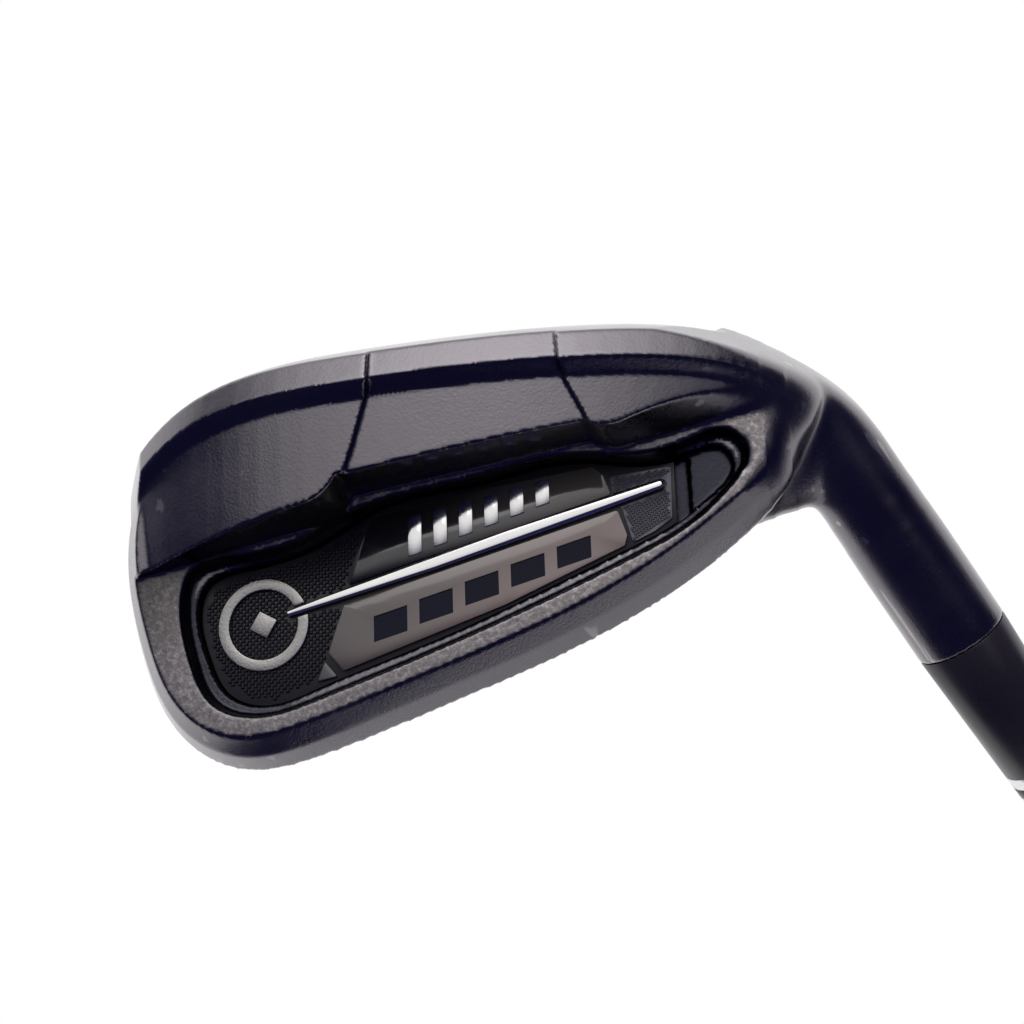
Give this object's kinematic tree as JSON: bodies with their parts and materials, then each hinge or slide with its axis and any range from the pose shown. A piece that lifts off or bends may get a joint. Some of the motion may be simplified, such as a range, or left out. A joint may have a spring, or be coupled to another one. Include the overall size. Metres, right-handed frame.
{
  "type": "golf iron",
  "caption": "Cavity-back iron golf club: cast head with a bonded damping badge, ringed ferrule, stepped hollow shaft and tapered rubber grip",
  "frame": {"origin": "centre of the butt end of the grip, on the shaft axis", "axes": "+Z along the shaft axis towards the head; the toe points towards -X and the striking face towards +Y, so the back of the head faces -Y"},
  "size_m": [0.1031, 0.0464, 0.974],
  "materials": {
    "cast_head": "black-plated gloss, worn to bare steel on the ridges",
    "adhesive": "cured adhesive",
    "damper": "dark elastomer, knurled at the toe",
    "smoked_plate": "smoked gloss",
    "bronze_plate": "bronze-smoked gloss",
    "bright_trim": "bright plated",
    "dark_fill": "dark paint fill",
    "grey_trim": "fine dotted satin",
    "shaft_chrome": "bright plated stepped tube",
    "tip_weight": "turned",
    "band": "plain band",
    "ferrule_plastic": "polished black",
    "tape": "double-sided paper tape",
    "grip_rubber": "matt textured rubber"
  },
  "bodies": {
    "root": {"head_body": "cast_head", "badge_adhesive": "adhesive", "badge_damper": "damper", "badge_sole_side_plate": "smoked_plate", "badge_sole_side_marks": "bright_trim", "badge_topline_side_plate": "bronze_plate", "badge_topline_side_marks": "dark_fill", "badge_bar": "bright_trim", "badge_heel_panel": "grey_trim", "badge_corner_wedge": "grey_trim", "badge_emblem_ring": "bright_trim", "badge_emblem_core": "bright_trim", "shaft": "shaft_chrome", "shaft_epoxy": "adhesive", "tip_weight": "tip_weight", "shaft_band": "band", "ferrule": "ferrule_plastic", "ferrule_ring_head": "bright_trim", "ferrule_ring_shaft": "bright_trim", "grip_tape": "tape", "grip": "grip_rubber", "grip_cap": "grip_rubber"}
  },
  "joints": []
}
